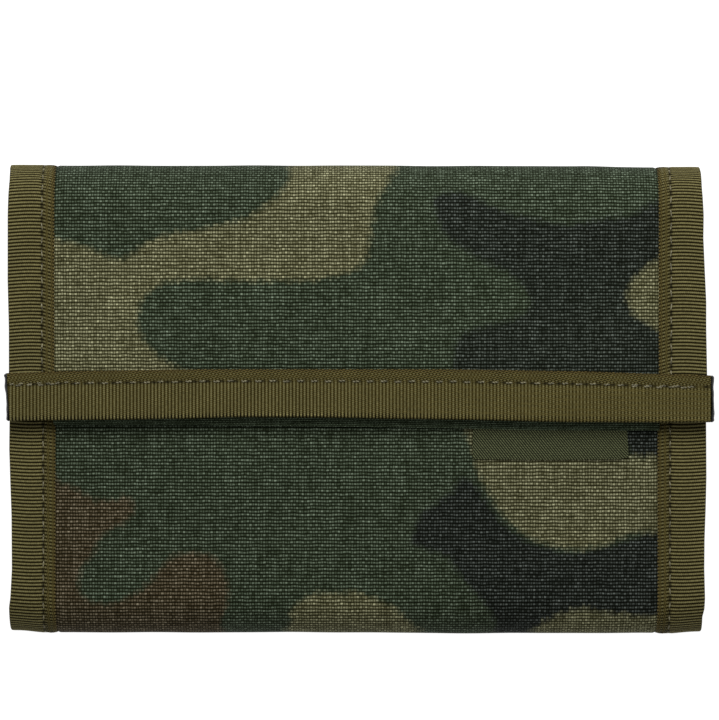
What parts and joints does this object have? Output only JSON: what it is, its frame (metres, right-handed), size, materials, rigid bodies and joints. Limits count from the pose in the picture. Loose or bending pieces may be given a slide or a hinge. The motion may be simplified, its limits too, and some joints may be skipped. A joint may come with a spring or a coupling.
{
  "type": "trifold wallet",
  "caption": "Soft trifold wallet of camouflage cloth with taped edges, folded shut under a flap, with card, note and zipped coin pockets inside.",
  "frame": {"origin": "middle of the closed wallet's outline, on the plane that its back lies on", "axes": "+X to the right across the wallet, +Y from the bottom fold to the top fold, +Z out of the back towards the flap"},
  "size_m": [0.1324, 0.0872, 0.0181],
  "materials": {
    "camouflage_cloth": "plain-weave nylon printed with a woodland camouflage, matte",
    "binding_tape": "ribbed olive grosgrain, matte",
    "lining_cloth": "coated nylon lining, matte",
    "foam": "foam padding",
    "hook_tape": "moulded hook tape",
    "loop_tape": "brushed loop tape",
    "label_cloth": "twill-woven label, plain",
    "clear_film": "clear vinyl",
    "zip_tape": "woven zip tape",
    "zip_coil": "nylon coil",
    "zip_metal": "dark lacquered zinc"
  },
  "bodies": {
    "back": {"back_shell": "camouflage_cloth", "back_padding": "foam", "back_lining": "lining_cloth", "back_binding_left": "binding_tape", "back_binding_right": "binding_tape", "note_pocket_wall": "lining_cloth", "note_pocket_trim": "binding_tape", "card_pocket_rear": "lining_cloth", "card_pocket_middle": "lining_cloth", "card_pocket_front": "lining_cloth", "card_trim_rear": "binding_tape", "card_trim_middle": "binding_tape", "card_trim_front": "binding_tape", "card_tape_left": "binding_tape", "card_tape_right": "binding_tape", "card_tape_bottom": "binding_tape", "id_window": "clear_film"},
    "top_fold": {"top_fold_shell": "camouflage_cloth", "top_fold_lining": "lining_cloth", "top_fold_binding_left": "binding_tape", "top_fold_binding_right": "binding_tape"},
    "flap": {"flap_shell": "camouflage_cloth", "flap_padding": "foam", "flap_lining": "lining_cloth", "flap_binding_left": "binding_tape", "flap_binding_right": "binding_tape", "flap_edge_binding": "binding_tape", "loop_tape": "loop_tape"},
    "bottom_fold": {"bottom_fold_shell": "camouflage_cloth", "bottom_fold_lining": "lining_cloth", "bottom_fold_binding_left": "binding_tape", "bottom_fold_binding_right": "binding_tape"},
    "front": {"front_shell": "camouflage_cloth", "front_padding": "foam", "front_lining": "lining_cloth", "front_binding_left": "binding_tape", "front_binding_right": "binding_tape", "woven_label": "label_cloth", "tongue_shell": "camouflage_cloth", "tongue_lining": "lining_cloth", "tongue_hem": "camouflage_cloth", "tongue_binding": "binding_tape", "hook_tape": "hook_tape", "coin_wall_upper": "lining_cloth", "coin_wall_lower": "lining_cloth", "zip_tape_upper": "zip_tape", "zip_tape_lower": "zip_tape", "zip_coil_upper": "zip_coil", "zip_coil_lower": "zip_coil", "zip_stop_closed": "zip_metal", "zip_stop_open": "zip_metal"},
    "zip_slider": {"zip_slider": "zip_metal", "zip_ribbon": "binding_tape"}
  },
  "joints": [
    {"name": "top_fold_turn", "type": "hinge", "parent": "back", "child": "top_fold", "pos_m": [0, 0.04171, 0.00189], "axis": [-1, 0, 0], "range_deg": [0, 90]},
    {"name": "flap_turn", "type": "hinge", "parent": "top_fold", "child": "flap", "pos_m": [0, 0.04171, 0.01571], "axis": [-1, 0, 0], "range_deg": [0, 90]},
    {"name": "bottom_fold_turn", "type": "hinge", "parent": "back", "child": "bottom_fold", "pos_m": [0, -0.04211, 0.00149], "axis": [1, 0, 0], "range_deg": [0, 90]},
    {"name": "front_turn", "type": "hinge", "parent": "bottom_fold", "child": "front", "pos_m": [0, -0.04211, 0.01241], "axis": [1, 0, 0], "range_deg": [0, 90], "deforming": ["tongue_shell", "tongue_lining", "tongue_hem", "tongue_binding", "hook_tape"]},
    {"name": "zip_slide", "type": "slide", "parent": "front", "child": "zip_slider", "axis": [-1, 0, 0], "range_m": [0, 0.084]}
  ],
  "couplings": [
    {"joint": "flap_turn", "follows": "top_fold_turn", "ratio": 1},
    {"joint": "front_turn", "follows": "bottom_fold_turn", "ratio": 1}
  ]
}
